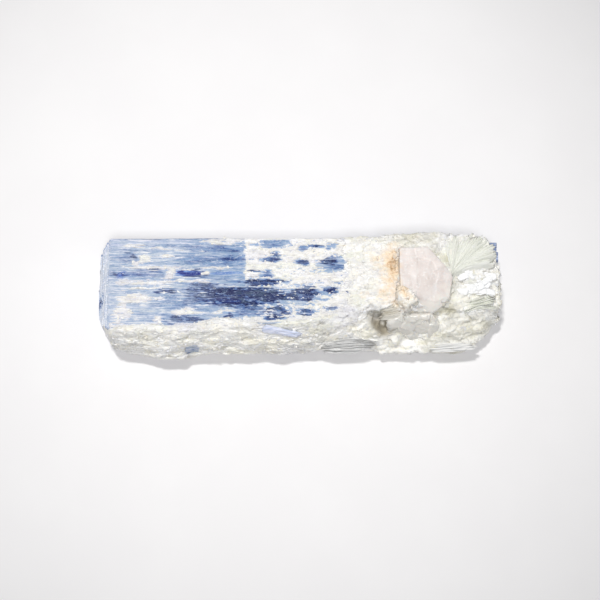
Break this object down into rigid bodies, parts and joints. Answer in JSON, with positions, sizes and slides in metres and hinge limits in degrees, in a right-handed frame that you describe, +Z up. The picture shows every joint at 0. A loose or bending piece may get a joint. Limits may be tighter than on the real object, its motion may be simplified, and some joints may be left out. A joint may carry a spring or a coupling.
{
  "type": "kyanite blade cluster",
  "caption": "Flat blue kyanite blade lying on its broad face, crusted with white mica and quartz, with pink and clear crystals and mica books at one end.",
  "frame": {"origin": "on the ground under the middle of the specimen", "axes": "+X along the blade towards the crusted end with the crystals, +Y towards the blade's clean long edge, +Z up from the ground"},
  "size_m": [0.0906, 0.0254, 0.0172],
  "materials": {
    "kyanite": "striated cleavage faces, silky lustre",
    "mica_quartz_crust": "rough and granular, with small bright flakes and rust stains",
    "pink_crystal": "cloudy translucent, satin faces",
    "clear_quartz": "glassy and clear, with veils inside",
    "grey_mica": "stacked wavy sheets, pearly",
    "green_mica": "stacked sheets, pearly",
    "white_mica": "stacked sheets, bright pearly"
  },
  "bodies": {
    "root": {"kyanite_blade": "kyanite", "kyanite_splinter": "kyanite", "kyanite_grain": "kyanite", "crust": "mica_quartz_crust", "pink_crystal": "pink_crystal", "clear_quartz": "clear_quartz", "grey_mica_book": "grey_mica", "green_mica_book": "green_mica", "edge_mica_book": "green_mica", "white_mica_book": "white_mica"}
  },
  "joints": []
}
